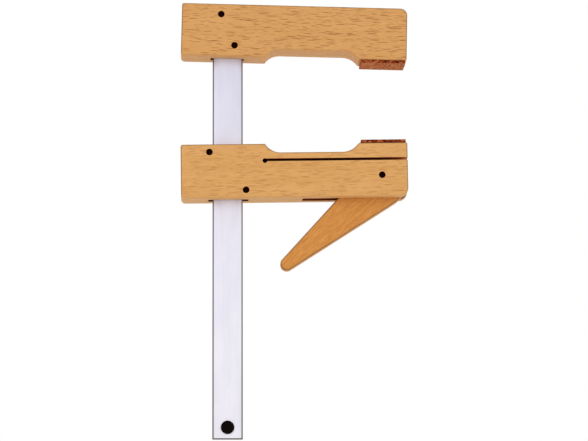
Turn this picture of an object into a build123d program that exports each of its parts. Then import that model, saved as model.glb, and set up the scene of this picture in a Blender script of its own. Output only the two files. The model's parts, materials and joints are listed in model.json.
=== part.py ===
from build123d import *
import os
from math import acos, cos, degrees, radians, sin, tan

# Wooden cam clamp: two beech arms on a flat steel rail.
# +Z runs up the rail, +X from the rail to the jaws, +Y into the picture.
# The origin is the centre of the fixed jaw's cork face. All sizes are in millimetres and degrees.

# Rail
RAIL_LENGTH = 288.5
RAIL_WIDTH = 20.0
RAIL_THICKNESS = 5.0
RAIL_EDGE_BEVEL = 0.6
RAIL_END_BEVEL = 0.5
RAIL_TOP_DEPTH = 1.0

# Stop rivet near the rail's lower end
STOP_HEAD_DIAMETER = 8.8
STOP_HEAD_HEIGHT = 1.1
STOP_HEAD_BEVEL = 0.4
STOP_SHANK_DIAMETER = 6.0
STOP_END_DISTANCE = 7.5

# Both arms
ARM_LENGTH = 150.0
ARM_THICKNESS = 22.0
HEEL_LENGTH = 31.2
JAW_LENGTH = 31.8
RECESS_START = 24.7
RECESS_ARC_RADIUS = 11.0
RECESS_RAMP_ANGLE = 45.0
ARM_EDGE_ROUND = 1.0
JAW_TIP_ROUND = 1.1

# Fixed arm
FIXED_ARM_HEIGHT = 35.5
FIXED_TOE_IN = 1.35
FIXED_RECESS_DEPTH = 5.3
FIXED_HEEL_TOP_ROUND = 1.4
FIXED_HEEL_JAW_ROUND = 2.4
FIXED_TIP_ROUND = 4.6
MORTISE_END_GAP = 0.2
MORTISE_FACE_GAP = 0.1
FIXED_PIN_TOP_MARGIN = 7.1
FIXED_PIN_TOP_OFFSET = 5.0
FIXED_PIN_JAW_MARGIN = 7.4
FIXED_PIN_JAW_OFFSET = 4.3

# Sliding arm
JAW_OPENING = 51.7
SLIDING_ARM_HEIGHT = 36.0
SLIDING_TOE_IN = 0.75
SLIDING_RECESS_DEPTH = 5.9
SLIDING_HEEL_BACK_ROUND = 2.6
SLIDING_HEEL_JAW_ROUND = 1.6
SLIDING_TIP_ROUND = 5.5
SLIDE_SLOT_END_GAP = 2.9
SLIDE_SLOT_FACE_GAP = 0.3
GUIDE_PIN_GAP = 0.1
GUIDE_PIN_JAW_MARGIN = 5.3
GUIDE_PIN_BACK_MARGIN = 5.1

# Saw kerf that frees the tongue
KERF_WIDTH = 1.8
KERF_DEPTH = 10.95
KERF_START = 24.4
KERF_HOLE_DIAMETER = 3.2
KERF_HOLE_DROP = 0.5
TONGUE_BEND_START = 46.5

# Cork pads
CORK_THICKNESS = 2.0
CORK_LENGTH = 29.8
CORK_TIP_INSET = 1.0

# Steel pins
PIN_DIAMETER = 4.0
PIN_RECESS = 1.2
PIN_END_BEVEL = 0.4
PIVOT_BORE_GAP = 0.06

# Cam lever and its mortise
PIVOT_TIP_DISTANCE = 17.1
PIVOT_DEPTH = 21.8
LEVER_THICKNESS = 8.0
LEVER_REACH = 85.8
LEVER_TIP_RADIUS = 4.3
LEVER_REST_ANGLE = 42.1
LEVER_SWING = 90.0
LEVER_EDGE_BEVEL = 0.7
LEVER_SIDE_GAP = 0.3
TONGUE_LIFT_ANGLE = 4.7
CAM_GAP = 0.15
CAM_BACK_RADIUS = 19.4
CAM_CURVE_POINTS = 12
CAM_SLOPE_STEP = 0.01
EDGE_SEARCH = 40.0
EDGE_SEARCH_ROUNDS = 50
LEVER_SLOT_MOUTH_START = 49.0
LEVER_SLOT_TOP_START = 81.0
LEVER_SLOT_CUTTER_RADIUS = 90.0

# Places along an arm, from the rail's centre line
HEEL_X = -HEEL_LENGTH
TIP_X = ARM_LENGTH - HEEL_LENGTH
JAW_X = TIP_X - JAW_LENGTH
CORK_CENTRE_X = TIP_X - CORK_TIP_INSET - CORK_LENGTH / 2
PIVOT_X = TIP_X - PIVOT_TIP_DISTANCE

PIN_LENGTH = ARM_THICKNESS - 2 * PIN_RECESS
CUT_EXTRA = 2.0

# The arm frames: the rail's centre line crosses the clamping face at each frame's origin
fixed_frame = Rot(0, FIXED_TOE_IN, 0) * Pos(-CORK_CENTRE_X, 0, CORK_THICKNESS)
RAIL_X = fixed_frame.position.X
toe = radians(SLIDING_TOE_IN)
SLIDING_Z = -JAW_OPENING - CORK_CENTRE_X * sin(toe) - CORK_THICKNESS * cos(toe)
sliding_frame = Pos(RAIL_X, 0, SLIDING_Z) * Rot(0, -SLIDING_TOE_IN, 0)
rail_top_z = fixed_frame.position.Z + FIXED_ARM_HEIGHT / cos(radians(FIXED_TOE_IN)) - RAIL_TOP_DEPTH
rail_frame = Pos(RAIL_X, 0, rail_top_z - RAIL_LENGTH)


def side_extrude(face, thickness):
    """Extrude a side view, drawn in X and Z, equally to both sides of the middle plane."""
    return extrude(Plane.XZ * face, amount=thickness / 2, both=True)


def round_corner(face, x, z, radius):
    """Round the corner of a side view that lies nearest to (x, z)."""
    return fillet(face.vertices().sort_by_distance((x, z))[0], radius)


def round_outline(solid, radius):
    """Round the long edges where the two flat sides meet the rim."""
    sides = solid.faces().filter_by(Axis.Y)
    return fillet(sides.edges(), radius)


def cross_pin_hole(x, z, diameter, length):
    """A round hole across the arm, along Y."""
    return Pos(x, 0, z) * Rot(90, 0, 0) * Cylinder(diameter / 2, length)


def pin(x, z):
    """A straight steel pin along Y with bevelled ends."""
    rod = Cylinder(PIN_DIAMETER / 2, PIN_LENGTH)
    rod = chamfer(rod.edges().filter_by(GeomType.CIRCLE), PIN_END_BEVEL)
    return Pos(x, 0, z) * Rot(90, 0, 0) * rod


def arm_blank(height, recess_depth, heel_back_round, heel_jaw_round, tip_round):
    """An arm without its holes: clamping face at z = 0, back at z = height, recess up into the wood."""
    arc = RECESS_ARC_RADIUS
    heel_turn = degrees(acos(1 - recess_depth / arc))
    flat_start = RECESS_START + arc * sin(radians(heel_turn))
    ramp = radians(RECESS_RAMP_ANGLE)
    ramp_top = recess_depth - arc * (1 - cos(ramp))
    ramp_start = JAW_X - ramp_top / tan(ramp)
    flat_end = ramp_start - arc * sin(ramp)
    rim = [
        Line((HEEL_X, 0), (RECESS_START, 0)),
        CenterArc((flat_start, recess_depth - arc), arc, 90 + heel_turn, -heel_turn),
        Line((flat_start, recess_depth), (flat_end, recess_depth)),
        CenterArc((flat_end, recess_depth - arc), arc, 90, -RECESS_RAMP_ANGLE),
        Line((ramp_start, ramp_top), (JAW_X, 0)),
        Line((JAW_X, 0), (TIP_X, 0)),
        Line((TIP_X, 0), (TIP_X, height)),
        Line((TIP_X, height), (HEEL_X, height)),
        Line((HEEL_X, height), (HEEL_X, 0)),
    ]
    face = make_face(Wire(rim))
    face = round_corner(face, HEEL_X, height, heel_back_round)
    face = round_corner(face, TIP_X, height, tip_round)
    face = round_corner(face, HEEL_X, 0, heel_jaw_round)
    face = round_corner(face, TIP_X, 0, JAW_TIP_ROUND)
    return round_outline(side_extrude(face, ARM_THICKNESS), ARM_EDGE_ROUND)


def build_rail():
    """The flat bar, with holes for the two arm pins and the stop rivet."""
    bar = Pos(0, 0, RAIL_LENGTH / 2) * Box(RAIL_WIDTH, RAIL_THICKNESS, RAIL_LENGTH)
    bar = chamfer(bar.edges().filter_by(Axis.Z), RAIL_EDGE_BEVEL)
    ends = bar.faces().filter_by(Axis.Z)
    bar = rail_frame * chamfer(ends.edges(), RAIL_END_BEVEL)
    hole_length = RAIL_THICKNESS + CUT_EXTRA
    for x, z in fixed_pin_places():
        bar -= fixed_frame * cross_pin_hole(x, z, PIN_DIAMETER, hole_length)
    return bar - rail_frame * cross_pin_hole(0, STOP_END_DISTANCE, STOP_SHANK_DIAMETER, hole_length)


def build_stop():
    """The stop rivet: a shank through the rail and a low bevelled head on each side."""
    shank = Cylinder(STOP_SHANK_DIAMETER / 2, RAIL_THICKNESS)
    head = Cylinder(STOP_HEAD_DIAMETER / 2, STOP_HEAD_HEIGHT, align=(Align.CENTER, Align.CENTER, Align.MIN))
    head = chamfer(head.edges().group_by(Axis.Z)[-1], STOP_HEAD_BEVEL)
    head = Pos(0, 0, RAIL_THICKNESS / 2) * head
    rivet = shank + head + mirror(head, about=Plane.XY)
    return rail_frame * Pos(0, 0, STOP_END_DISTANCE) * Rot(90, 0, 0) * rivet


def fixed_pin_places():
    """The two pins that hold the rail in the fixed arm, in the arm's frame."""
    return [
        (-FIXED_PIN_TOP_OFFSET, FIXED_ARM_HEIGHT - FIXED_PIN_TOP_MARGIN),
        (FIXED_PIN_JAW_OFFSET, FIXED_PIN_JAW_MARGIN),
    ]


def build_fixed_arm():
    """The upper arm: the rail stands in a mortise that goes right through, held by two pins."""
    arm = arm_blank(
        FIXED_ARM_HEIGHT, FIXED_RECESS_DEPTH, FIXED_HEEL_TOP_ROUND, FIXED_HEEL_JAW_ROUND, FIXED_TIP_ROUND
    )
    lean = tan(radians(FIXED_TOE_IN))
    mortise_width = RAIL_WIDTH / cos(radians(FIXED_TOE_IN)) + FIXED_ARM_HEIGHT * lean + 2 * MORTISE_END_GAP
    mortise_thickness = RAIL_THICKNESS + 2 * MORTISE_FACE_GAP
    mortise = Box(mortise_width, mortise_thickness, FIXED_ARM_HEIGHT + CUT_EXTRA)
    arm -= Pos(-FIXED_ARM_HEIGHT / 2 * lean, 0, FIXED_ARM_HEIGHT / 2) * mortise
    for x, z in fixed_pin_places():
        arm -= cross_pin_hole(x, z, PIN_DIAMETER, ARM_THICKNESS + CUT_EXTRA)
    return fixed_frame * arm


def guide_pin_places():
    """The two pins that the sliding arm bears on the rail's edges with, in the arm's frame."""
    reach = RAIL_WIDTH / 2 + PIN_DIAMETER / 2 + GUIDE_PIN_GAP
    upper_z = -GUIDE_PIN_JAW_MARGIN
    lower_z = GUIDE_PIN_BACK_MARGIN - SLIDING_ARM_HEIGHT
    return [
        ((-reach + upper_z * sin(toe)) / cos(toe), upper_z),
        ((reach + lower_z * sin(toe)) / cos(toe), lower_z),
    ]


def build_sliding_wood():
    """The lower arm with its tongue still on: rail slot, pin holes, saw kerf and lever mortise."""
    wood = arm_blank(
        SLIDING_ARM_HEIGHT,
        SLIDING_RECESS_DEPTH,
        SLIDING_HEEL_BACK_ROUND,
        SLIDING_HEEL_JAW_ROUND,
        SLIDING_TIP_ROUND,
    )
    wood = mirror(wood, about=Plane.XY)
    slot_width = RAIL_WIDTH + 2 * SLIDE_SLOT_END_GAP
    slot_thickness = RAIL_THICKNESS + 2 * SLIDE_SLOT_FACE_GAP
    slot = Box(slot_width, slot_thickness, SLIDING_ARM_HEIGHT + CUT_EXTRA)
    wood -= Pos(0, 0, -SLIDING_ARM_HEIGHT / 2) * slot
    across = ARM_THICKNESS + CUT_EXTRA
    for x, z in guide_pin_places() + [(PIVOT_X, -PIVOT_DEPTH)]:
        wood -= cross_pin_hole(x, z, PIN_DIAMETER, across)
    kerf_length = TIP_X + CUT_EXTRA - KERF_START
    kerf = Box(kerf_length, across, KERF_WIDTH, align=(Align.MIN, Align.CENTER, Align.CENTER))
    wood -= Pos(KERF_START, 0, -KERF_DEPTH) * kerf
    wood -= cross_pin_hole(KERF_START, -KERF_DEPTH - KERF_HOLE_DROP, KERF_HOLE_DIAMETER, across)
    return wood - lever_mortise()


def lever_mortise():
    """The slot for the lever: open below and at the tip, its far end left round by the cutter."""
    back_z = -SLIDING_ARM_HEIGHT
    below_z = back_z - CUT_EXTRA
    beyond_x = TIP_X + CUT_EXTRA
    top_corner = (LEVER_SLOT_TOP_START, -KERF_DEPTH)
    mouth_corner = (LEVER_SLOT_MOUTH_START, back_z)
    rim = [
        RadiusArc(top_corner, mouth_corner, -LEVER_SLOT_CUTTER_RADIUS),
        Line(mouth_corner, (LEVER_SLOT_MOUTH_START, below_z)),
        Line((LEVER_SLOT_MOUTH_START, below_z), (beyond_x, below_z)),
        Line((beyond_x, below_z), (beyond_x, -KERF_DEPTH)),
        Line((beyond_x, -KERF_DEPTH), top_corner),
    ]
    return side_extrude(make_face(Wire(rim)), LEVER_THICKNESS + 2 * LEVER_SIDE_GAP)


def split_tongue(wood):
    """Part the wood where the tongue bends: the arm, and the free strip above the kerf."""
    zone_length = TIP_X + CUT_EXTRA - TONGUE_BEND_START
    across = ARM_THICKNESS + CUT_EXTRA
    zone = Box(zone_length, across, KERF_DEPTH + CUT_EXTRA, align=(Align.MIN, Align.CENTER, Align.MIN))
    zone = Pos(TONGUE_BEND_START, 0, -KERF_DEPTH) * zone
    return sliding_frame * (wood - zone), sliding_frame * (wood & zone)


def build_cork():
    """A cork pad, with the clamping face's centre at the origin and its body above."""
    pad = Box(CORK_LENGTH, ARM_THICKNESS, CORK_THICKNESS)
    return Pos(0, 0, CORK_THICKNESS / 2) * pad


def tongue_height(turn):
    """How far the tongue's underside lies above the pivot once the tongue has bent by turn, in radians."""
    arm = PIVOT_X - TONGUE_BEND_START
    bend_z = PIVOT_DEPTH - SLIDING_RECESS_DEPTH
    rest = PIVOT_DEPTH - KERF_DEPTH + KERF_WIDTH / 2
    return rest + arm * sin(turn) - bend_z * (1 - cos(turn))


def cam_support(angle):
    """The cam's reach from the pivot in a direction, in degrees anticlockwise from the arm's +X.

    A lever turned by the swing angle lifts the tongue by the same share of its lift, all the way.
    """
    ratio = TONGUE_LIFT_ANGLE / LEVER_SWING
    turn = radians(90 - angle) * ratio / (1 - ratio)
    return tongue_height(turn) - CAM_GAP


def cam_point(angle):
    """The point of the cam's rim whose outward direction is angle."""
    step = CAM_SLOPE_STEP
    reach = cam_support(angle)
    slope = (cam_support(angle + step) - cam_support(angle - step)) / (2 * radians(step))
    a = radians(angle)
    return Vector(reach * cos(a) - slope * sin(a), reach * sin(a) + slope * cos(a))


def circle_support(centre, radius, angle):
    """The reach of a circle from the pivot in a direction."""
    a = radians(angle)
    return centre.X * cos(a) + centre.Y * sin(a) + radius


def common_tangent(one, other, low, high):
    """The direction between low and high in which two rims reach equally far, by halving."""
    first = one(low) > other(low)
    for _ in range(EDGE_SEARCH_ROUNDS):
        middle = (low + high) / 2
        if (one(middle) > other(middle)) == first:
            low = middle
        else:
            high = middle
    return low


def rim_point(centre, radius, angle):
    """The point of a circle in a direction."""
    return centre + Vector(radius * cos(radians(angle)), radius * sin(radians(angle)))


def build_lever():
    """The lever: a spiral cam head round the pivot, running out tangent into the tapered handle."""
    rest = radians(180 + LEVER_REST_ANGLE)
    tip = Vector(LEVER_REACH * cos(rest), LEVER_REACH * sin(rest))
    crest = cam_point(90)
    back = crest - Vector(0, CAM_BACK_RADIUS)

    def tip_support(angle):
        return circle_support(tip, LEVER_TIP_RADIUS, angle)

    def back_support(angle):
        return circle_support(back, CAM_BACK_RADIUS, angle)

    handle = 180 + LEVER_REST_ANGLE
    cam_end = common_tangent(cam_support, tip_support, handle - 270 - EDGE_SEARCH, handle - 270)
    back_end = common_tangent(back_support, tip_support, handle - 90, handle - 90 + EDGE_SEARCH)
    samples = [90 + (cam_end - 90) * n / (CAM_CURVE_POINTS - 1) for n in range(CAM_CURVE_POINTS)]
    cam_rim = Spline([cam_point(a) for a in samples])
    tip_top = rim_point(tip, LEVER_TIP_RADIUS, back_end)
    tip_bottom = rim_point(tip, LEVER_TIP_RADIUS, cam_end)
    tip_middle = rim_point(tip, LEVER_TIP_RADIUS, handle)
    back_point = rim_point(back, CAM_BACK_RADIUS, back_end)
    back_middle = rim_point(back, CAM_BACK_RADIUS, (90 + back_end) / 2)
    rim = [
        cam_rim,
        Line(cam_point(cam_end), tip_bottom),
        ThreePointArc(tip_bottom, tip_middle, tip_top),
        Line(tip_top, back_point),
        ThreePointArc(back_point, back_middle, crest),
    ]
    lever = side_extrude(make_face(Wire(rim)), LEVER_THICKNESS)
    lever = chamfer(lever.faces().filter_by(Axis.Y).edges(), LEVER_EDGE_BEVEL)
    bore = PIN_DIAMETER + 2 * PIVOT_BORE_GAP
    lever -= cross_pin_hole(0, 0, bore, LEVER_THICKNESS + CUT_EXTRA)
    return sliding_frame * Pos(PIVOT_X, 0, -PIVOT_DEPTH) * lever


parts = {
    "rail": build_rail(),
    "rail_end_stop": build_stop(),
    "fixed_arm": build_fixed_arm(),
    "fixed_jaw_cork": Rot(0, FIXED_TOE_IN, 0) * build_cork(),
    "cam_lever": build_lever(),
    "lever_pivot_pin": sliding_frame * pin(PIVOT_X, -PIVOT_DEPTH),
}
parts["sliding_arm"], parts["flex_tongue"] = split_tongue(build_sliding_wood())
sliding_cork_place = sliding_frame * Pos(CORK_CENTRE_X, 0, 0)
parts["sliding_jaw_cork"] = sliding_cork_place * build_cork()
for name, place in zip(("fixed_arm_pin_upper", "fixed_arm_pin_lower"), fixed_pin_places()):
    parts[name] = fixed_frame * pin(*place)
for name, place in zip(("guide_pin_upper", "guide_pin_lower"), guide_pin_places()):
    parts[name] = sliding_frame * pin(*place)

os.makedirs("parts", exist_ok=True)
for name, solid in parts.items():
    solid.label = name
    export_step(solid, f"parts/{name}.step")
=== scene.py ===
import bpy
import json
from math import acos, atan2, pi, radians, tan
from mathutils import Matrix, Vector


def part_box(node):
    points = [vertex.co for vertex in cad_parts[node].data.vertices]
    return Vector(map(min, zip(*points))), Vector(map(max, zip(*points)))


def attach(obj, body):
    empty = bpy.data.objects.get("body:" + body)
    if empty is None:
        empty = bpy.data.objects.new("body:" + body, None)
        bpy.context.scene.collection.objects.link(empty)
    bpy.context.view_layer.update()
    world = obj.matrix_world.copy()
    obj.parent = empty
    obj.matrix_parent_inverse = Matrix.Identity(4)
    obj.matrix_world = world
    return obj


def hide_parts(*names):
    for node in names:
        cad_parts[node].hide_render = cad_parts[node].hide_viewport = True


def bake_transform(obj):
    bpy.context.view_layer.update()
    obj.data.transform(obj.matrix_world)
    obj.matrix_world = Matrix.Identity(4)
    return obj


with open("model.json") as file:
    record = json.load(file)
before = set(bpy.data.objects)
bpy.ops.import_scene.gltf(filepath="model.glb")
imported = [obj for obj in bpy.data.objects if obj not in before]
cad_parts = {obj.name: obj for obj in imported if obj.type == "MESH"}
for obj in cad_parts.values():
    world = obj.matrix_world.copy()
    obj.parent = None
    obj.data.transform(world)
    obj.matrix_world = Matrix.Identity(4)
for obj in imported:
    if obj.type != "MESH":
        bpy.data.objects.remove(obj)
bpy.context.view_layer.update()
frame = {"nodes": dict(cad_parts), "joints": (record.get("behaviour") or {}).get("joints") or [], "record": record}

# The dressed wooden cam clamp. Metres throughout; MM turns a size in millimetres into metres.
MM = 0.001
TOUCHING = 0.001 * MM
FLAT_ANGLE = radians(1)
SHARP_ANGLE = radians(30)
CORK_SHARP_ANGLE = radians(50)

# Both arms, each modelled lying on its clamping face: x along it from the rail, z up into the wood
ARM_THICKNESS = 22.0 * MM
ARM_HEEL = -31.2 * MM
ARM_TIP = 118.8 * MM
JAW_START = 87.0 * MM
JAW_TIP_ROUND = 1.1 * MM
RECESS_START = 24.7 * MM
RECESS_ARC = 11.0 * MM
SLOPE_SHARE = 0.995
RAMP_ANGLE = radians(45)
EDGE_ROUND = 1.0 * MM
PIN_DIAMETER = 4.0 * MM
HOLE_EASING = 0.25 * MM
MORTISE_EASING = 0.45 * MM
ROD_SIDES = 40

# The upper arm, whose mortise fits the rail closely
FIXED_HEIGHT = 35.5 * MM
FIXED_RECESS = 5.3 * MM
FIXED_HEEL_BACK_ROUND = 1.4 * MM
FIXED_HEEL_JAW_ROUND = 2.4 * MM
FIXED_TIP_ROUND = 4.6 * MM
FIXED_GAP_X = 0.2 * MM
FIXED_GAP_Y = 0.1 * MM

# The lower arm, which slides on the rail with room to tilt
SLIDING_HEIGHT = 36.0 * MM
SLIDING_RECESS = 5.9 * MM
SLIDING_HEEL_BACK_ROUND = 2.6 * MM
SLIDING_HEEL_JAW_ROUND = 1.6 * MM
SLIDING_TIP_ROUND = 5.5 * MM
SLIDING_GAP_X = 2.9 * MM
SLIDING_GAP_Y = 0.3 * MM

# Its cutters reach past the wood by CUT_EXTRA and into each other by CUT_OVERLAP
CUT_EXTRA = 3.0 * MM
CUT_OVERLAP = 0.3 * MM
PAST_TIP = ARM_TIP + CUT_EXTRA
PAST_SIDE = ARM_THICKNESS / 2 + CUT_EXTRA

# Its saw kerf, whose walls are painted shade: dark, redder from KERF_RED before the tip and
# lighter from KERF_MOUTH_LIGHT, as painted light that gets in at the mouth. The strip above it bends
# between BEND_START and BEND_END.
KERF_WIDTH = 1.8 * MM
KERF_DEPTH = 10.95 * MM
KERF_JAW_WALL = KERF_DEPTH - KERF_WIDTH / 2
KERF_BACK_WALL = KERF_DEPTH + KERF_WIDTH / 2
KERF_START = 24.4 * MM
KERF_HOLE_DIAMETER = 3.2 * MM
KERF_HOLE_DROP = 0.5 * MM
KERF_RED = 27.0 * MM
KERF_MOUTH_LIGHT = 8.0 * MM
STRIP_START = 27.5 * MM
BEND_START = 29.5 * MM
BEND_END = 63.5 * MM
BEND_SLICES = 12

# Its slot for the lever, cut with a wheel
LEVER_SLOT_WIDTH = 8.6 * MM
LEVER_SLOT_TOP = 81.0 * MM
LEVER_SLOT_MOUTH = 49.0 * MM
WHEEL_RADIUS = 90.0 * MM
WHEEL_SIDES = 240

# Cork pads, rail, stop and lever
CORK_THICKNESS = 2.0 * MM
CORK_LENGTH = 29.8 * MM
CORK_INSET = 1.0 * MM
CORK_CUTS = 40
CORK_GRANULE = 1.1 * MM
CORK_CRUMBLE = 0.35 * MM
RAIL_EDGE_ROUND = 1.1 * MM
RAIL_END_EASING = 0.4 * MM
STOP_SHANK = 6.0 * MM
LEVER_EASING = 0.28 * MM

# Beech grain: how often each pattern comes in a millimetre, along the grain, from front to back
# and in height
GRAIN_DRIFT = (0.011, 0.04, 0.05)
GRAIN_WAVE = (0.09, 0.2, 0.25)
GRAIN_RINGS = (0.006, 0.10, 0.16)
GRAIN_FIBRES = (0.05, 0.9, 1.3)
GRAIN_HAIRS = (0.16, 2.2, 3.4)
GRAIN_BLUSH = (0.03, 0.08, 0.12)
END_GROWTH = (0.02, 0.55, 0.05)
SAWN_GRAIN = (0.05, 1.2, 1.2)
KERF_GRAIN = (0.3, 1.5, 1.5)
# How far the grain drifts and waves up and down, in millimetres
DRIFT_RISE = 5.0
WAVE_RISE = 1.4
# Flecks, pores and rays: the length and height of the cells that hold one each, in millimetres
LONG_FLECK = (8.6, 0.62)
SHORT_FLECK = (5.2, 0.5)
PORE = (2.4, 0.36)
RAY_PATCH = (5.5, 1.5)
END_RAY = (6.5, 0.5)
# How far each reaches from the middle of its cell
FLECK_REACH = 0.34
PORE_REACH = 0.4
RAY_REACH = 0.42
# A dash fades in between these parts of its reach, and FULL_DASHES of the dashes are at full depth
DASH_EDGE = 1.15
DASH_CORE = 0.65
FULL_DASHES = 0.6
# The rows of cells are set off along the grain, and the cells are a little uneven
ROW_OFFSET = 0.618
CELL_RANDOMNESS = 0.9
# The back shows flecks from further along, so that they aren't the front's
BACK_SHIFT = 171.0
# How many cells have a dash, and how strongly it shows. The short flecks' go by the long ones'.
SHORT_FLECK_SHARE = 1.3
SHORT_FLECK_DEPTH = 0.7
PORE_SHARE = 0.5
PORE_DEPTH = 0.14
RAY_PATCH_SHARE = 0.5
RAY_PATCH_DEPTH = 0.16
END_RAY_SHARE = 0.8
# How squarely a surface faces along the piece's thickness or length to count as a side or an end
BROAD_SIDE = (0.45, 0.85)
END_FACE = (0.75, 0.97)
# The strength of the hair streaks against the fibres, the blush, the ends' own look and the painted shade on the
# edges
HAIR_STREAK = 1.1
BLUSH_DEPTH = 0.33
END_DEPTH = 0.6
EDGE_SHADE = 0.62
# How the grain of the upper arm and of the lever lies
UPPER_GRAIN_TILT = radians(-2.0)
LEVER_SLOPE = radians(42.85)

# Patterns of the other finishes: how often they come in a metre along x, y and z
HOLE_WALL_GRAIN = (300.0, 1500.0, 1500.0)
DRAWN_LINES = (2600.0, 2600.0, 14.0)
PLATE_CLOUDS = (90.0, 90.0, 30.0)
STEEL_GRAIN = (900.0, 900.0, 900.0)
RIVET_GRAIN = (1100.0, 1100.0, 1100.0)
# How often the cork's patterns come in a millimetre
CORK_WARP = 1.1
CORK_CELLS = 0.8
CORK_FINE = 3.2
# The cutter's marks across a mortise wall
SAW_MARKS = 0.5
SAW_WANDER = 2.0
# The rail's painted light is dimmest up at the first of these heights and brightest down at the second
PLATE_SHADED_HEIGHT = 0.04
PLATE_LIT_HEIGHT = -0.2

# The camera stands low in front of the clamp and looks up at it a little
FRAME_WIDTH = 588
SENSOR = 36.0
FOCAL_PX = 3377.4
CAMERA_PLACE = (-0.1157, -2.2, -0.486)
CAMERA_PITCH = 0.1717
CAMERA_YAW = 0.0258
CAMERA_ROLL = -0.003
VIEW_DEPTH = 50.0

# Soft studio light: a plain level all round and two lamps, each with its place and power
WORLD_LEVEL = 0.84
LAMP_SIZE = 1.0
LAMP_TARGET = (-0.04, 0, -0.05)
LAMPS = {
    "key": ((-0.9, -1.5, 0.9), 5.0),
    "fill": ((1.1, -1.4, -0.1), 2.5),
}

# The floor: pale under the clamp, and turning plain white between these distances from it
FLOOR_SIZE = 40
FLOOR_PLACE = (-0.06, 0.0, -0.62)
FLOOR_WHITE_FROM = 0.25
FLOOR_WHITE_TO = 1.1
FLOOR_PAPER = 0.92
FLOOR_WHITE_SHARE = 0.6
WHITE = (1.0, 1.0, 1.0, 1.0)


def mount(name):
    """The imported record's mount of that name."""
    return next(m for m in frame["record"]["mounts"] if m["name"] == name)


def joint(name):
    """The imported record's joint of that name."""
    return next(j for j in frame["joints"] if j["name"] == name)


# The arms' places: each clamping face crosses the rail's centre line at its arm's origin
cork_centre = ARM_TIP - CORK_INSET - CORK_LENGTH / 2
fixed_axis = mount("fixed_jaw_face")["axis"]
sliding_axis = mount("sliding_jaw_face")["axis"]
fixed_toe = atan2(-fixed_axis[0], -fixed_axis[2])
sliding_toe = atan2(-sliding_axis[0], sliding_axis[2])
fixed_place = (
    Matrix.Translation(mount("fixed_jaw_face")["pos_m"])
    @ Matrix.Rotation(fixed_toe, 4, "Y")
    @ Matrix.Translation((-cork_centre, 0, CORK_THICKNESS))
)
sliding_place = (
    Matrix.Translation(mount("sliding_jaw_face")["pos_m"])
    @ Matrix.Rotation(-sliding_toe, 4, "Y")
    @ Matrix.Translation((-cork_centre, 0, -CORK_THICKNESS))
    @ Matrix.Rotation(pi, 4, "X")
)
pivot_point = Vector(joint("lever_turn")["pos_m"])


class Value:
    """A node's output that sums and products can be written with."""

    def __init__(self, tree, socket):
        self.tree = tree
        self.socket = socket

    def __add__(self, other):
        return self.tree.maths("ADD", self, other)

    def __sub__(self, other):
        return self.tree.maths("SUBTRACT", self, other)

    def __rsub__(self, other):
        return self.tree.maths("SUBTRACT", other, self)

    def __mul__(self, other):
        return self.tree.maths("MULTIPLY", self, other)

    def __truediv__(self, other):
        return self.tree.maths("DIVIDE", self, other)

    def __pow__(self, other):
        return self.tree.maths("POWER", self, other)

    def __abs__(self):
        return self.tree.maths("ABSOLUTE", self)

    __radd__ = __add__
    __rmul__ = __mul__

    def step(self, low, high):
        """A smooth step from 0 at low to 1 at high; low may be the larger."""
        settings = {"interpolation_type": "SMOOTHSTEP"}
        return self.tree.node("ShaderNodeMapRange", settings, [self, low, high, 0.0, 1.0])


class Tree:
    """The nodes of a material or of the world."""

    def __init__(self, owner):
        owner.use_nodes = True
        self.owner = owner
        self.nodes = owner.node_tree.nodes
        self.links = owner.node_tree.links
        self.nodes.clear()

    def node(self, kind, settings=None, inputs=None, output=0):
        """Add a node, set it up and fill its inputs, by number or name. Returns one output."""
        made = self.nodes.new(kind)
        for name, value in (settings or {}).items():
            setattr(made, name, value)
        pairs = inputs.items() if isinstance(inputs, dict) else enumerate(inputs or [])
        for key, value in pairs:
            if isinstance(value, Value):
                self.links.new(value.socket, made.inputs[key])
            else:
                made.inputs[key].default_value = value
        return Value(self, made.outputs[output]) if len(made.outputs) else None

    def outputs(self, kind, settings=None, inputs=None):
        """Add a node in the same way. Returns all its outputs, by name."""
        made = self.node(kind, settings, inputs).socket.node
        return {socket.name: Value(self, socket) for socket in made.outputs}

    def maths(self, operation, *inputs):
        return self.node("ShaderNodeMath", {"operation": operation}, inputs)

    def vector(self, operation, *inputs, output="Vector"):
        return self.node("ShaderNodeVectorMath", {"operation": operation}, inputs, output)

    def mix(self, share, one, other):
        """Mix two colours. A Mix node takes them at inputs 6 and 7 and gives one at output 2."""
        inputs = {0: share, 6: one, 7: other}
        return self.node("ShaderNodeMix", {"data_type": "RGBA"}, inputs, output=2)

    def parts(self, vector):
        """A vector's x, y and z."""
        return self.outputs("ShaderNodeSeparateXYZ", {}, [vector]).values()

    def where(self):
        """A point's place on its object, in metres."""
        return self.node("ShaderNodeTexCoord", output="Object")

    def noise(self, vector, often, detail=2.0, roughness=0.5):
        """Cloudy noise. often is how many times it comes in a unit, all round or on each axis."""
        if isinstance(often, tuple):
            vector = self.vector("MULTIPLY", vector, often)
            often = 1.0
        inputs = {"Vector": vector, "Scale": often, "Detail": detail, "Roughness": roughness}
        return self.node("ShaderNodeTexNoise", {}, inputs)

    def cells(self, vector, scale=1.0, dimensions="3D", randomness=1.0):
        """A pattern of cells: a number of each cell's own, 0 to 1, and how far its middle is."""
        settings = {"voronoi_dimensions": dimensions}
        inputs = {"Vector": vector, "Scale": scale, "Randomness": randomness}
        found = self.outputs("ShaderNodeTexVoronoi", settings, inputs)
        chance = self.node("ShaderNodeSeparateColor", {}, [found["Color"]])
        return chance, found["Distance"]

    def bump(self, height, distance, strength=1.0):
        inputs = {"Strength": strength, "Distance": distance, "Height": height}
        return self.node("ShaderNodeBump", {}, inputs)

    def surface(self, **inputs):
        """Finish the material with the principled shader and these inputs, and return it."""
        names = {name.replace("_", " "): value for name, value in inputs.items()}
        return self.show(self.node("ShaderNodeBsdfPrincipled", {}, names))

    def show(self, shader):
        """Put a shader on the material's output, and return the material."""
        self.node("ShaderNodeOutputMaterial", {}, {"Surface": shader})
        return self.owner


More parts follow.
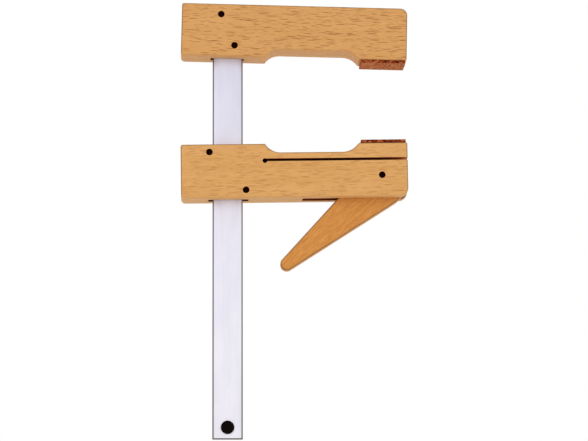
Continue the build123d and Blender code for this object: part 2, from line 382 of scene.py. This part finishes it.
def srgb(red, green, blue):
    """A colour as a picture shows it, 0 to 255, in the linear values that the nodes use."""

    def linear(level):
        share = level / 255
        return share / 12.92 if share <= 0.04045 else ((share + 0.055) / 1.055) ** 2.4

    return (linear(red), linear(green), linear(blue), 1.0)


def between(share, one, other):
    """The colour that is this share of the way from one colour to another."""
    return tuple(a + (b - a) * share for a, b in zip(one, other))


def grain_frame(tree, place):
    """A point's place in a piece's own grain frame, in millimetres, with the grain along x."""
    inputs = [tree.where(), place.to_translation(), place.to_euler(), (MM, MM, MM)]
    return tree.node("ShaderNodeMapping", {"vector_type": "TEXTURE"}, inputs)


def leaning(tree, direction):
    """How much the surface faces a direction, from -1 to 1."""
    normal = tree.node("ShaderNodeTexCoord", output="Normal")
    return tree.vector("DOT_PRODUCT", normal, direction, output="Value")


def facing(tree, direction):
    """How much the surface faces either way along a direction, from 0 to 1."""
    return abs(leaning(tree, direction))


def rounding(tree, direction):
    """1 halfway round an edge beside a face that looks along a direction, and 0 on the flats."""
    square = facing(tree, direction) ** 2.0
    return square * (1 - square) * 4.0


def dashes(tree, along, across, cell, share, reach):
    """Short dashes, one in that share of a pattern's cells. Returns 0 to 1."""
    length, height = cell
    row = across / height
    inputs = [along / length + row * ROW_OFFSET, row, 0.0]
    place = tree.node("ShaderNodeCombineXYZ", {}, inputs)
    chance, distance = tree.cells(place, dimensions="2D", randomness=CELL_RANDOMNESS)
    middle = distance.step(reach * DASH_EDGE, reach * DASH_CORE)
    return middle * chance.step(1 - share, 1 - share * FULL_DASHES)


def wandering(tree, local):
    """The grain frame with the slow rise and fall that the grain has along a board."""
    drift = tree.noise(local, GRAIN_DRIFT)
    wave = tree.noise(local, GRAIN_WAVE, detail=1.0)
    rise = (drift - 0.5) * DRIFT_RISE + (wave - 0.5) * WAVE_RISE
    lift = tree.node("ShaderNodeCombineXYZ", {}, [0.0, 0.0, rise])
    return tree.vector("ADD", local, lift)


def beech(name, place, light, dark, fleck, share, depth, streak, band, pale_low_edges=1.0):
    """Beech: streaks along the grain, ray flecks as each side shows them, and painted shade on the rounded edges.

    share is how many flecks there are and depth how dark they are. streak and band are the
    strength of the fine streaks and of the broad ones. pale_low_edges is how far the painted shade
    on the downward-facing edges turns pale instead of dark, from 0 to 1.
    """
    tree = Tree(bpy.data.materials.new(name))
    lengthwise = place.to_3x3() @ Vector((1, 0, 0))
    crosswise = place.to_3x3() @ Vector((0, 1, 0))
    bent = wandering(tree, grain_frame(tree, place))
    x, y, z = tree.parts(bent)

    rings = tree.noise(bent, GRAIN_RINGS, detail=3.0)
    fibres = tree.noise(bent, GRAIN_FIBRES, detail=4.0, roughness=0.65)
    hairs = tree.noise(bent, GRAIN_HAIRS, detail=3.0, roughness=0.65)
    tone = (rings - 0.5) * band + (fibres - 0.5) * streak
    tone = tone + (hairs - 0.5) * streak * HAIR_STREAK + 0.5
    ground = tree.mix(tone.step(0.1, 0.9), dark, light)
    blush = tree.noise(bent, GRAIN_BLUSH).step(0.42, 0.72) * band * BLUSH_DEPTH
    ground = tree.mix(blush, ground, between(0.35, light, fleck))

    # The broad sides cut the rays across, as short dark dashes
    broad = facing(tree, crosswise).step(*BROAD_SIDE)
    shifted = x + tree.maths("GREATER_THAN", y, 0.0) * BACK_SHIFT
    long_flecks = dashes(tree, shifted, z, LONG_FLECK, share, FLECK_REACH)
    short_share = share * SHORT_FLECK_SHARE
    short_flecks = dashes(tree, shifted, z, SHORT_FLECK, short_share, FLECK_REACH)
    flecks = tree.maths("MAXIMUM", long_flecks, short_flecks * SHORT_FLECK_DEPTH) * broad
    flecked = tree.mix(flecks * depth, ground, fleck)
    pores = dashes(tree, x, z + y, PORE, PORE_SHARE, PORE_REACH)
    pored = tree.mix(pores * PORE_DEPTH, flecked, fleck)

    # The narrow sides show the rays edge on, as pale patches across the grain
    patches = dashes(tree, y, x, RAY_PATCH, RAY_PATCH_SHARE, RAY_REACH) * (1 - broad)
    pale_ray = between(0.45, light, (1.0, 0.84, 0.62, 1.0))
    patched = tree.mix(patches * RAY_PATCH_DEPTH, pored, pale_ray)

    # The ends: growth rings across, and the rays as fine lines from front to back
    ends = facing(tree, lengthwise).step(*END_FACE)
    rays = dashes(tree, y, z, END_RAY, END_RAY_SHARE, RAY_REACH)
    growth = tree.noise(bent, END_GROWTH, roughness=0.4).step(0.4, 0.6)
    end_grain = tree.mix(growth * 0.5 + rays * 0.35, between(0.35, dark, fleck), fleck)
    ended = tree.mix(ends * END_DEPTH, patched, end_grain)

    # Painted shade on the rounded edges beside the broad sides: dark outlines, paler by pale_low_edges where they
    # face down
    edge = rounding(tree, crosswise).step(0.05, 0.75)
    under = leaning(tree, (0.0, 0.0, -1.0)).step(0.0, 0.35) * pale_low_edges
    edge_shade_tone = tree.mix(under, srgb(116, 84, 56), between(0.25, light, fleck))
    edge_shaded = tree.mix(edge * EDGE_SHADE, ended, edge_shade_tone)

    relief = hairs * 0.4 + fibres * 0.3 - flecks * 0.5 - pores * 0.3 + patches * 0.2
    return tree.surface(
        Base_Color=edge_shaded,
        Roughness=0.55 + (fibres - 0.5) * 0.25 + flecks * 0.1,
        Specular_IOR_Level=0.25,
        Normal=tree.bump(relief, 0.12 * MM, strength=0.6),
    )


def hole_shade_wood():
    """The walls of the drilled holes: painted shade, nearly black."""
    tree = Tree(bpy.data.materials.new("hole_shade_wood"))
    grain = tree.noise(tree.where(), HOLE_WALL_GRAIN, detail=3.0)
    return tree.surface(
        Base_Color=tree.mix(grain.step(0.3, 0.75), srgb(40, 8, 3), srgb(84, 26, 10)),
        Roughness=0.9,
        Specular_IOR_Level=0.0,
        Normal=tree.bump(grain, 0.1 * MM),
    )


def kerf_shade_wood(place):
    """The saw kerf's walls: painted shade, dark, redder towards the tip and lighter at its mouth, where light gets
    in.
    """
    tree = Tree(bpy.data.materials.new("kerf_shade_wood"))
    local = grain_frame(tree, place)
    along, _, _ = tree.parts(local)
    grain = tree.noise(local, KERF_GRAIN, detail=3.0)
    # Painted shade deep in the kerf, lightened towards the open tip as painted light
    deep_shade = tree.mix(grain.step(0.3, 0.75), srgb(104, 36, 12), srgb(160, 70, 30))
    red_from = (ARM_TIP - KERF_RED) / MM
    mouth_light_from = (ARM_TIP - KERF_MOUTH_LIGHT) / MM
    reddened = along.step(red_from, mouth_light_from) * 0.8
    walls = tree.mix(reddened, deep_shade, srgb(182, 86, 50))
    mouth_light = along.step(mouth_light_from, ARM_TIP / MM) * (0.6 + grain * 0.5)
    return tree.surface(
        Base_Color=tree.mix(mouth_light, walls, srgb(226, 160, 104)),
        Roughness=0.9,
        Specular_IOR_Level=0.0,
        Normal=tree.bump(grain, 0.1 * MM),
    )


def sawn_beech(name, place, light, dark):
    """Mortise walls: beech in the given dark colours as painted shade, with the cutter's cross marks."""
    tree = Tree(bpy.data.materials.new(name))
    local = grain_frame(tree, place)
    inputs = {"Vector": local, "Scale": SAW_MARKS, "Distortion": SAW_WANDER}
    marks = tree.node("ShaderNodeTexWave", {"bands_direction": "X"}, inputs)
    grain = tree.noise(local, SAWN_GRAIN, detail=3.0)
    return tree.surface(
        Base_Color=tree.mix(grain.step(0.25, 0.8) * 0.8 + marks * 0.15, dark, light),
        Roughness=0.8,
        Specular_IOR_Level=0.1,
        Normal=tree.bump(marks * 0.5 + grain, 0.08 * MM),
    )


def pressed_cork(rind, ground, pale):
    """Angular granules and dark bark specks, cut pale on the clamping face, darker at the rim."""
    tree = Tree(bpy.data.materials.new("cork"))
    metric = tree.vector("MULTIPLY", tree.where(), (1 / MM, 1 / MM, 1 / MM))
    warp = tree.noise(metric, CORK_WARP)
    moved = tree.vector("ADD", metric, tree.node("ShaderNodeCombineXYZ", {}, [warp, warp, warp]))
    chance, distance = tree.cells(moved, scale=CORK_CELLS)
    seams = distance.step(0.4, 0.85)
    fine = tree.noise(metric, CORK_FINE, detail=3.0)
    specks = fine.step(0.56, 0.72)
    rim_tone = tree.mix(chance.step(0.25, 0.75), rind, ground)
    face_tone = tree.mix(chance.step(0.1, 0.8), ground, pale)
    tone = tree.mix(facing(tree, (0.0, 1.0, 0.0)).step(0.3, 0.8), face_tone, rim_tone)
    barked = tree.mix(chance.step(0.84, 0.92) * 0.7, tone, rind)
    seamed = tree.mix(seams * 0.4, barked, rind)
    return tree.surface(
        Base_Color=tree.mix(specks * 0.45, seamed, rind),
        Roughness=0.92,
        Specular_IOR_Level=0.1,
        Normal=tree.bump(fine * 0.4 + chance * 0.5 - seams * 0.6, 0.3 * MM),
    )


def plated_steel():
    """The rail: bright zinc with faint drawn lines, painted light that is brighter lower down, and painted shade
    on its rounded edges and its ends.
    """
    tree = Tree(bpy.data.materials.new("plated_steel"))
    where = tree.where()
    drawn = tree.noise(where, DRAWN_LINES, detail=3.0)
    cloud = tree.noise(where, PLATE_CLOUDS, detail=4.0, roughness=0.6)
    _, _, height = tree.parts(where)
    # Painted light: the plate brighter lower down, with random clouds
    lower_down = height.step(PLATE_SHADED_HEIGHT, PLATE_LIT_HEIGHT)
    bright = lower_down * 0.8 + (cloud - 0.5) * 0.9
    plate = tree.mix(bright, srgb(215, 214, 231), srgb(241, 238, 246))
    lined = tree.mix((drawn - 0.5).step(0.02, 0.2) * 0.11, plate, srgb(186, 184, 198))
    # Painted shade: the rounded long edges darkened as outlines
    edge = rounding(tree, (0.0, 1.0, 0.0)).step(0.03, 0.35)
    edged = tree.mix(edge, lined, srgb(112, 100, 100))
    # Painted shade: the rail's ends dark and cloudy
    end_shade = facing(tree, (0.0, 0.0, 1.0)).step(0.12, 0.5) * (0.78 + cloud * 0.3)
    return tree.surface(
        Base_Color=tree.mix(end_shade, edged, srgb(24, 14, 16)),
        Metallic=(1 - end_shade) * 0.35,
        Roughness=0.42 + (drawn - 0.5) * 0.2 + (cloud - 0.5) * 0.1 + end_shade * 0.45,
        Specular_IOR_Level=0.3,
        Normal=tree.bump(drawn, 0.03 * MM, strength=0.35),
    )


def dark_steel():
    """The pins' ends: steel painted nearly black as the shade in their holes, a little brown in places."""
    tree = Tree(bpy.data.materials.new("dark_steel"))
    grain = tree.noise(tree.where(), STEEL_GRAIN, detail=3.0)
    return tree.surface(
        Base_Color=tree.mix(grain.step(0.35, 0.8), srgb(16, 1, 0), srgb(36, 8, 4)),
        Roughness=0.75 + grain * 0.2,
        Specular_IOR_Level=0.04,
        Normal=tree.bump(grain, 0.05 * MM),
    )


def black_rivet():
    """The stop rivet: matt black."""
    tree = Tree(bpy.data.materials.new("black_rivet"))
    grain = tree.noise(tree.where(), RIVET_GRAIN, detail=3.0)
    return tree.surface(
        Base_Color=tree.mix(grain, srgb(6, 1, 1), srgb(20, 9, 9)),
        Roughness=0.7 + grain * 0.15,
        Specular_IOR_Level=0.04,
        Normal=tree.bump(grain, 0.04 * MM),
    )


def looked_at(tree):
    """1 for what the camera sees, straight, mirrored or through glass; 0 for what gives light."""
    rays = tree.outputs("ShaderNodeLightPath")
    seen = tree.maths("MAXIMUM", rays["Is Camera Ray"], rays["Is Glossy Ray"])
    return tree.maths("MAXIMUM", seen, rays["Is Transmission Ray"])


def white_to_camera(name, level):
    """The world: a plain level of light on the object, and white behind it."""
    world = bpy.data.worlds.new(name)
    bpy.context.scene.world = world
    tree = Tree(world)
    inputs = [looked_at(tree), 0.0, 1.0, level, 1.0]
    strength = tree.node("ShaderNodeMapRange", {}, inputs)
    background = tree.node("ShaderNodeBackground", {}, [WHITE, strength])
    tree.node("ShaderNodeOutputWorld", {}, {"Surface": background})


def start():
    """Leave edit mode with nothing selected, as every new primitive needs it."""
    if bpy.context.object and bpy.context.object.mode != "OBJECT":
        bpy.ops.object.mode_set(mode="OBJECT")
    bpy.ops.object.select_all(action="DESELECT")


def take(obj):
    """Make obj the one selected, active object."""
    start()
    obj.select_set(True)
    bpy.context.view_layer.objects.active = obj


def settle():
    """Put the active object's size and place into its mesh."""
    bpy.ops.object.transform_apply(location=True, rotation=True, scale=True)


def edit_all():
    """In edit mode, select the whole mesh."""
    bpy.ops.object.mode_set(mode="EDIT")
    bpy.ops.mesh.select_all(action="SELECT")


def pick(kind, test):
    """In edit mode, select the vertices, edges or faces whose points all pass test."""
    bpy.ops.object.mode_set(mode="EDIT")
    bpy.ops.mesh.select_mode(type=kind)
    bpy.ops.mesh.select_all(action="DESELECT")
    bpy.ops.object.mode_set(mode="OBJECT")
    mesh = bpy.context.object.data
    if kind == "VERT":
        for vertex in mesh.vertices:
            vertex.select = test(vertex.co)
    else:
        for item in mesh.edges if kind == "EDGE" else mesh.polygons:
            item.select = all(test(mesh.vertices[v].co) for v in item.vertices)
    bpy.ops.object.mode_set(mode="EDIT")


def near(value, target):
    return abs(value - target) < TOUCHING


def slice_at(x):
    """Cut a line of edges right round the active object at x."""
    edit_all()
    bpy.ops.mesh.bisect(plane_co=(x, 0, 0), plane_no=(1, 0, 0))


def ease(offset, segments):
    """Round off the selected edges."""
    bpy.ops.mesh.bevel(offset=offset, segments=segments, profile=0.5, clamp_overlap=False)


def block(low, high):
    """A box between two corners."""
    start()
    middle = [(a + b) / 2 for a, b in zip(low, high)]
    size = [b - a for a, b in zip(low, high)]
    bpy.ops.mesh.primitive_cube_add(size=1, location=middle, scale=size)
    settle()
    return bpy.context.object


def rod(x, z, diameter, length, sides=ROD_SIDES):
    """A round bar along y."""
    start()
    bpy.ops.mesh.primitive_cylinder_add(
        vertices=sides,
        radius=diameter / 2,
        depth=length,
        location=(x, 0, z),
        rotation=(pi / 2, 0, 0),
    )
    settle()
    return bpy.context.object


def cut(obj, cutter, finish=None, operation="DIFFERENCE"):
    """Cut one solid with another, and give the new walls this finish."""
    if finish:
        cutter.data.materials.clear()
        cutter.data.materials.append(finish)
    take(obj)
    modifier = obj.modifiers.new("cut", "BOOLEAN")
    modifier.operation = operation
    modifier.solver = "EXACT"
    modifier.material_mode = "TRANSFER"
    modifier.object = cutter
    bpy.ops.object.modifier_apply(modifier=modifier.name)
    bpy.data.objects.remove(cutter)


def tidy_mesh(obj, sharp=SHARP_ANGLE):
    """Merge doubles, face outwards and shade the round edges smooth."""
    take(obj)
    edit_all()
    bpy.ops.mesh.remove_doubles(threshold=TOUCHING)
    bpy.ops.mesh.normals_make_consistent(inside=False)
    bpy.ops.object.mode_set(mode="OBJECT")
    bpy.ops.object.shade_smooth_by_angle(angle=sharp)


def put(obj, name, place):
    """Name a finished piece and move it to its place, which goes into the mesh."""
    take(obj)
    obj.name = name
    obj.data.name = name
    obj.matrix_world = place
    settle()


def arm_outline(height, recess, slope_top, ramp_top):
    """An arm's side view as a flat sheet, with its recess pushed in between rail and jaw."""
    start()
    middle = ((ARM_HEEL + ARM_TIP) / 2, -ARM_THICKNESS / 2, height / 2)
    bpy.ops.mesh.primitive_plane_add(size=1, location=middle, rotation=(pi / 2, 0, 0))
    arm = bpy.context.object
    arm.scale = (ARM_TIP - ARM_HEEL, height, 1)
    settle()
    for x in (RECESS_START, slope_top, ramp_top, JAW_START):
        slice_at(x)
    pick("VERT", lambda p: near(p.z, 0) and (near(p.x, slope_top) or near(p.x, ramp_top)))
    bpy.ops.transform.translate(value=(0, 0, recess))
    edit_all()
    bpy.ops.mesh.dissolve_limited(angle_limit=FLAT_ANGLE)
    return arm


def arm_blank(height, recess, heel_back_round, heel_jaw_round, tip_round):
    """An arm without its holes, from a side view that is thickened and eased."""
    slope_turn = acos(1 - recess / RECESS_ARC)
    slope_reach = RECESS_ARC * tan(slope_turn / 2) * SLOPE_SHARE
    slope_top = RECESS_START + recess / tan(slope_turn)
    ramp_reach = RECESS_ARC * tan(RAMP_ANGLE / 2)
    ramp_top = JAW_START - recess / tan(RAMP_ANGLE)
    arm = arm_outline(height, recess, slope_top, ramp_top)
    edit_all()
    bpy.ops.mesh.extrude_region_move(TRANSFORM_OT_translate={"value": (0, ARM_THICKNESS, 0)})
    edit_all()
    bpy.ops.mesh.normals_make_consistent(inside=False)
    # Each corner's x and z, how far its rounding reaches, and the rounding's segments
    corners = [
        (slope_top, recess, slope_reach, 10),
        (ramp_top, recess, ramp_reach, 8),
        (ARM_HEEL, height, heel_back_round, 6),
        (ARM_HEEL, 0, heel_jaw_round, 6),
        (ARM_TIP, height, tip_round, 8),
        (ARM_TIP, 0, JAW_TIP_ROUND, 5),
    ]
    for x, z, reach, segments in corners:
        pick("EDGE", lambda p: near(p.x, x) and near(p.z, z))
        ease(reach, segments)
    for side in (-ARM_THICKNESS / 2, ARM_THICKNESS / 2):
        pick("EDGE", lambda p: near(p.y, side))
        ease(EDGE_ROUND, segments=4)
    bpy.ops.object.mode_set(mode="OBJECT")
    return arm


def flare(test, move, centre, grown):
    """Draw out one end of the active cutter and widen it, to ease the mouth that it cuts."""
    pick("FACE", test)
    bpy.ops.mesh.extrude_region_move(TRANSFORM_OT_translate={"value": move})
    bpy.ops.transform.resize(value=grown, center_override=centre)
    bpy.ops.object.mode_set(mode="OBJECT")


def drill(arm, x, z, walls):
    """A pin hole right through, with its mouths eased."""
    start_y = ARM_THICKNESS / 2 - HOLE_EASING
    flared = 2 * HOLE_EASING
    bit = rod(x, z, PIN_DIAMETER, 2 * start_y)
    grown = 1 + 2 * flared / PIN_DIAMETER
    for side in (-1, 1):
        end = side * start_y
        tip = end + side * flared
        flare(lambda p: near(p.y, end), (0, side * flared, 0), (x, tip, z), (grown, 1, grown))
    cut(arm, bit, walls)


def pin_places(names, place):
    """Where these pins' middles lie in an arm's own frame, as (x, z)."""
    found = []
    for name in names:
        low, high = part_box(name)
        middle = place.inverted() @ ((low + high) / 2)
        found.append((middle.x, middle.z))
    return found


def rail_slot(arm, gap_x, gap_y, centre_x, height, walls):
    """The rail's slot right through an arm, with eased mouths."""
    low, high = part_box("rail")
    half_x = (high.x - low.x) / 2 + gap_x
    half_y = (high.y - low.y) / 2 + gap_y
    top = height - MORTISE_EASING
    flared = 2 * MORTISE_EASING
    low_corner = (centre_x - half_x, -half_y, MORTISE_EASING)
    cutter = block(low_corner, (centre_x + half_x, half_y, top))
    grown = (1 + flared / half_x, 1 + flared / half_y, 1)
    for end, rise in ((MORTISE_EASING, -flared), (top, flared)):
        flare(lambda p: near(p.z, end), (0, 0, rise), (centre_x, 0, end + rise), grown)
    cut(arm, cutter, walls)


def make_fixed_arm(wood, walls, dark):
    """The upper arm, with the rail's mortise and its two pin holes."""
    arm = arm_blank(
        FIXED_HEIGHT,
        FIXED_RECESS,
        FIXED_HEEL_BACK_ROUND,
        FIXED_HEEL_JAW_ROUND,
        FIXED_TIP_ROUND,
    )
    arm.data.materials.append(wood)
    lean = FIXED_HEIGHT * tan(fixed_toe)
    rail_slot(arm, FIXED_GAP_X + lean / 2, FIXED_GAP_Y, -lean / 2, FIXED_HEIGHT, walls)
    for x, z in pin_places(("fixed_arm_pin_upper", "fixed_arm_pin_lower"), fixed_place):
        drill(arm, x, z, dark)
    tidy_mesh(arm)
    put(arm, "upper_arm_wood", fixed_place)
    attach(arm, "rail_body")
    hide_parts("fixed_arm")


def cut_lever_slot(arm, deep_walls, tip_walls):
    """The lever's slot: the wheel's round cut at its far end, and straight on to the tip."""
    half = LEVER_SLOT_WIDTH / 2
    back = SLIDING_HEIGHT + CUT_EXTRA
    run = Vector((LEVER_SLOT_TOP - LEVER_SLOT_MOUTH, KERF_DEPTH - SLIDING_HEIGHT))
    middle = Vector((LEVER_SLOT_TOP + LEVER_SLOT_MOUTH, KERF_DEPTH + SLIDING_HEIGHT)) / 2
    sideways = Vector((-run.y, run.x)).normalized()
    hub = middle + sideways * (WHEEL_RADIUS**2 - run.length_squared / 4) ** 0.5
    wheel = rod(hub.x, hub.y, 2 * WHEEL_RADIUS, LEVER_SLOT_WIDTH, sides=WHEEL_SIDES)
    reached = block((0, -half * 2, KERF_DEPTH), (LEVER_SLOT_TOP, half * 2, back))
    cut(wheel, reached, operation="INTERSECT")
    cut(arm, wheel, deep_walls)
    low_corner = (LEVER_SLOT_TOP - CUT_OVERLAP, -half, KERF_DEPTH)
    cut(arm, block(low_corner, (PAST_TIP, half, back)), tip_walls)


def make_sliding_arm(arm, walls, dark, kerf, slot_deep, slot_tip):
    """The lower arm from its blank, without the strip above the kerf."""
    rail_slot(arm, SLIDING_GAP_X, SLIDING_GAP_Y, 0.0, SLIDING_HEIGHT, walls)
    low_corner = (STRIP_START, -PAST_SIDE, -CUT_EXTRA)
    cut(arm, block(low_corner, (PAST_TIP, PAST_SIDE, KERF_BACK_WALL)), kerf)
    low_corner = (KERF_START, -PAST_SIDE, KERF_JAW_WALL)
    cut(arm, block(low_corner, (STRIP_START + CUT_EXTRA, PAST_SIDE, KERF_BACK_WALL)), kerf)
    hole_z = KERF_DEPTH + KERF_HOLE_DROP
    cut(arm, rod(KERF_START, hole_z, KERF_HOLE_DIAMETER, 2 * PAST_SIDE), dark)
    cut_lever_slot(arm, slot_deep, slot_tip)
    pins = ("guide_pin_upper", "guide_pin_lower", "lever_pivot_pin")
    for x, z in pin_places(pins, sliding_place):
        drill(arm, x, z, dark)
    tidy_mesh(arm)
    put(arm, "lower_arm_wood", sliding_place)
    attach(arm, "sliding_body")
    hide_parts("sliding_arm")


def make_tongue(strip, kerf):
    """The strip above the kerf, from a blank of the lower arm, sliced so that it can bend."""
    low_corner = (STRIP_START, -PAST_SIDE, -CUT_EXTRA)
    cut(strip, block(low_corner, (PAST_TIP, PAST_SIDE, KERF_JAW_WALL)), kerf, "INTERSECT")
    take(strip)
    for n in range(BEND_SLICES + 1):
        slice_at(BEND_START + (BEND_END - BEND_START) * n / BEND_SLICES)
    tidy_mesh(strip)
    put(strip, "tongue_wood", sliding_place)
    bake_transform(strip)
    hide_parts("flex_tongue")


def make_sliding_wood(wood, walls, dark, kerf, slot_deep, slot_tip):
    """The lower arm and its bending strip, from two copies of one blank."""
    arm = arm_blank(
        SLIDING_HEIGHT,
        SLIDING_RECESS,
        SLIDING_HEEL_BACK_ROUND,
        SLIDING_HEEL_JAW_ROUND,
        SLIDING_TIP_ROUND,
    )
    arm.data.materials.append(wood)
    take(arm)
    bpy.ops.object.duplicate()
    strip = bpy.context.object
    make_sliding_arm(arm, walls, dark, kerf, slot_deep, slot_tip)
    make_tongue(strip, kerf)


def make_cork(name, node, place, body, material):
    """A cork pad whose faces and rim crumble a little where the granules end."""
    half = CORK_LENGTH / 2
    low = (cork_centre - half, -ARM_THICKNESS / 2, -CORK_THICKNESS)
    pad = block(low, (cork_centre + half, ARM_THICKNESS / 2, 0))
    edit_all()
    bpy.ops.mesh.subdivide(number_cuts=CORK_CUTS)
    bpy.ops.object.mode_set(mode="OBJECT")
    granules = bpy.data.textures.new(name, "VORONOI")
    granules.noise_scale = CORK_GRANULE
    crumble = pad.modifiers.new("crumble", "DISPLACE")
    crumble.texture = granules
    crumble.texture_coords = "LOCAL"
    crumble.mid_level = 1.0
    crumble.strength = CORK_CRUMBLE
    bpy.ops.object.modifier_apply(modifier=crumble.name)
    tidy_mesh(pad, CORK_SHARP_ANGLE)
    pad.data.materials.append(material)
    put(pad, name, place)
    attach(pad, body)
    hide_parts(node)


def make_rail(steel):
    """The flat bar with rounded long edges, eased ends and the holes for its stop and pins."""
    low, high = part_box("rail")
    bar = block(low, high)
    bar.data.materials.append(steel)
    for x in (low.x, high.x):
        for y in (low.y, high.y):
            pick("EDGE", lambda p: near(p.x, x) and near(p.y, y))
            ease(RAIL_EDGE_ROUND, segments=5)
    for z in (low.z, high.z):
        pick("FACE", lambda p: near(p.z, z))
        bpy.ops.mesh.region_to_loop()
        ease(RAIL_END_EASING, segments=3)
    bpy.ops.object.mode_set(mode="OBJECT")
    for node, bore in (
        ("rail_end_stop", STOP_SHANK),
        ("fixed_arm_pin_upper", PIN_DIAMETER),
        ("fixed_arm_pin_lower", PIN_DIAMETER),
    ):
        crossing_low, crossing_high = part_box(node)
        middle = (crossing_low + crossing_high) / 2
        cut(bar, rod(middle.x, middle.z, bore, ARM_THICKNESS), steel)
    tidy_mesh(bar)
    bar.name = bar.data.name = "rail_bar"
    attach(bar, "rail_body")
    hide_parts("rail")


def make_lever(wood):
    """The lever: the solid's own outline, its bevelled rim worked over to a hand-eased edge."""
    lever = bpy.data.objects.new("cam_lever_wood", frame["nodes"]["cam_lever"].data.copy())
    bpy.context.scene.collection.objects.link(lever)
    lever.data.name = lever.name
    lever.data.materials.clear()
    lever.data.materials.append(wood)
    take(lever)
    edit_all()
    bpy.ops.mesh.remove_doubles(threshold=TOUCHING)
    bpy.ops.mesh.dissolve_limited(angle_limit=FLAT_ANGLE)
    bpy.ops.object.mode_set(mode="OBJECT")
    easing = lever.modifiers.new("easing", "BEVEL")
    easing.width = LEVER_EASING
    easing.segments = 3
    easing.limit_method = "ANGLE"
    easing.angle_limit = SHARP_ANGLE
    bpy.ops.object.modifier_apply(modifier=easing.name)
    tidy_mesh(lever)
    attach(lever, "lever_body")
    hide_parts("cam_lever")


def dress(node, material):
    """Give a CAD node its finish."""
    obj = frame["nodes"][node]
    obj.data.materials.clear()
    obj.data.materials.append(material)


def make_camera():
    """The camera, at the photograph's viewing angle."""
    data = bpy.data.cameras.new("camera")
    camera = bpy.data.objects.new("camera", data)
    bpy.context.scene.collection.objects.link(camera)
    bpy.context.scene.camera = camera
    data.sensor_width = SENSOR
    data.lens = FOCAL_PX * SENSOR / FRAME_WIDTH
    data.clip_end = VIEW_DEPTH
    place = Matrix.Translation(CAMERA_PLACE)
    for angle, axis in ((-CAMERA_YAW, "Z"), (pi / 2 + CAMERA_PITCH, "X"), (CAMERA_ROLL, "Z")):
        place = place @ Matrix.Rotation(angle, 4, axis)
    camera.matrix_world = place


def make_lamp(name, place, power):
    """A soft square lamp that faces the clamp."""
    data = bpy.data.lights.new(name, "AREA")
    data.size = LAMP_SIZE
    data.energy = power
    lamp = bpy.data.objects.new(name, data)
    bpy.context.scene.collection.objects.link(lamp)
    lamp.location = place
    aim = Vector(LAMP_TARGET) - Vector(place)
    lamp.rotation_euler = aim.to_track_quat("-Z", "Y").to_euler()


def make_floor():
    """A pale floor that keeps the shadow under the clamp and turns plain white further out."""
    start()
    bpy.ops.mesh.primitive_plane_add(size=FLOOR_SIZE, location=FLOOR_PLACE)
    floor = bpy.context.object
    floor.name = "floor"
    settle()
    tree = Tree(bpy.data.materials.new("floor"))
    grey = (FLOOR_PAPER, FLOOR_PAPER, FLOOR_PAPER, 1.0)
    paper = tree.node("ShaderNodeBsdfDiffuse", {}, {"Color": grey})
    white = tree.node("ShaderNodeEmission", {}, {"Color": WHITE, "Strength": 1.0})
    seen = looked_at(tree)
    distance = tree.vector("DISTANCE", tree.where(), FLOOR_PLACE, output="Value")
    far = distance.step(FLOOR_WHITE_FROM, FLOOR_WHITE_TO)
    whiteness = (FLOOR_WHITE_SHARE + far * (1 - FLOOR_WHITE_SHARE)) * seen
    shown = tree.node("ShaderNodeMixShader", {}, [whiteness, paper, white])
    # From below, it is clear
    under = tree.node("ShaderNodeNewGeometry", output="Backfacing")
    clear = tree.node("ShaderNodeBsdfTransparent")
    shown = tree.node("ShaderNodeMixShader", {}, [under * seen, shown, clear])
    floor.data.materials.append(tree.show(shown))


upper_beech = beech(
    "upper_beech",
    fixed_place @ Matrix.Rotation(UPPER_GRAIN_TILT, 4, "Y"),
    light=srgb(227, 170, 105),
    dark=srgb(206, 148, 80),
    fleck=srgb(138, 66, 20),
    share=0.2,
    depth=0.9,
    streak=0.5,
    band=0.4,
)
lower_beech = beech(
    "lower_beech",
    sliding_place,
    light=srgb(230, 175, 108),
    dark=srgb(210, 153, 82),
    fleck=srgb(158, 82, 30),
    share=0.15,
    depth=0.6,
    streak=0.8,
    band=0.7,
)
lever_beech = beech(
    "lever_beech",
    Matrix.Translation(pivot_point) @ Matrix.Rotation(-LEVER_SLOPE, 4, "Y"),
    light=srgb(230, 161, 82),
    dark=srgb(197, 124, 46),
    fleck=srgb(164, 86, 30),
    share=0.65,
    depth=0.34,
    streak=1.0,
    band=0.1,
    # Painted shade: all the lever's rounded edges are darkened, the downward-facing ones too
    pale_low_edges=0.0,
)
# Painted shade on the slots' walls: darkest in the rail's mortises, less deep in the lever's slot and least near
# its open tip
mortise_shade = {"light": srgb(96, 52, 28), "dark": srgb(62, 26, 12)}
upper_walls = sawn_beech("upper_walls", fixed_place, **mortise_shade)
lower_walls = sawn_beech("lower_walls", sliding_place, **mortise_shade)
slot_deep = sawn_beech("slot_deep", sliding_place, light=srgb(140, 62, 20), dark=srgb(94, 32, 8))
slot_tip = sawn_beech("slot_tip", sliding_place, light=srgb(190, 138, 96), dark=srgb(150, 98, 64))
hole_shade = hole_shade_wood()
kerf = kerf_shade_wood(sliding_place)
steel = plated_steel()
pin_steel = dark_steel()
stop_black = black_rivet()
cork = pressed_cork(rind=srgb(92, 20, 5), ground=srgb(190, 96, 48), pale=srgb(212, 144, 92))

make_fixed_arm(upper_beech, upper_walls, hole_shade)
make_sliding_wood(lower_beech, lower_walls, hole_shade, kerf, slot_deep, slot_tip)
make_cork("upper_cork_pad", "fixed_jaw_cork", fixed_place, "rail_body", cork)
make_cork("lower_cork_pad", "sliding_jaw_cork", sliding_place, "tongue_body", cork)
make_rail(steel)
make_lever(lever_beech)
dress("rail_end_stop", stop_black)
for node in frame["nodes"]:
    if "_pin" in node:
        dress(node, pin_steel)

make_camera()
white_to_camera("studio", WORLD_LEVEL)
for name, (place, power) in LAMPS.items():
    make_lamp(name, place, power)
make_floor()
bpy.context.scene.view_settings.view_transform = "Standard"
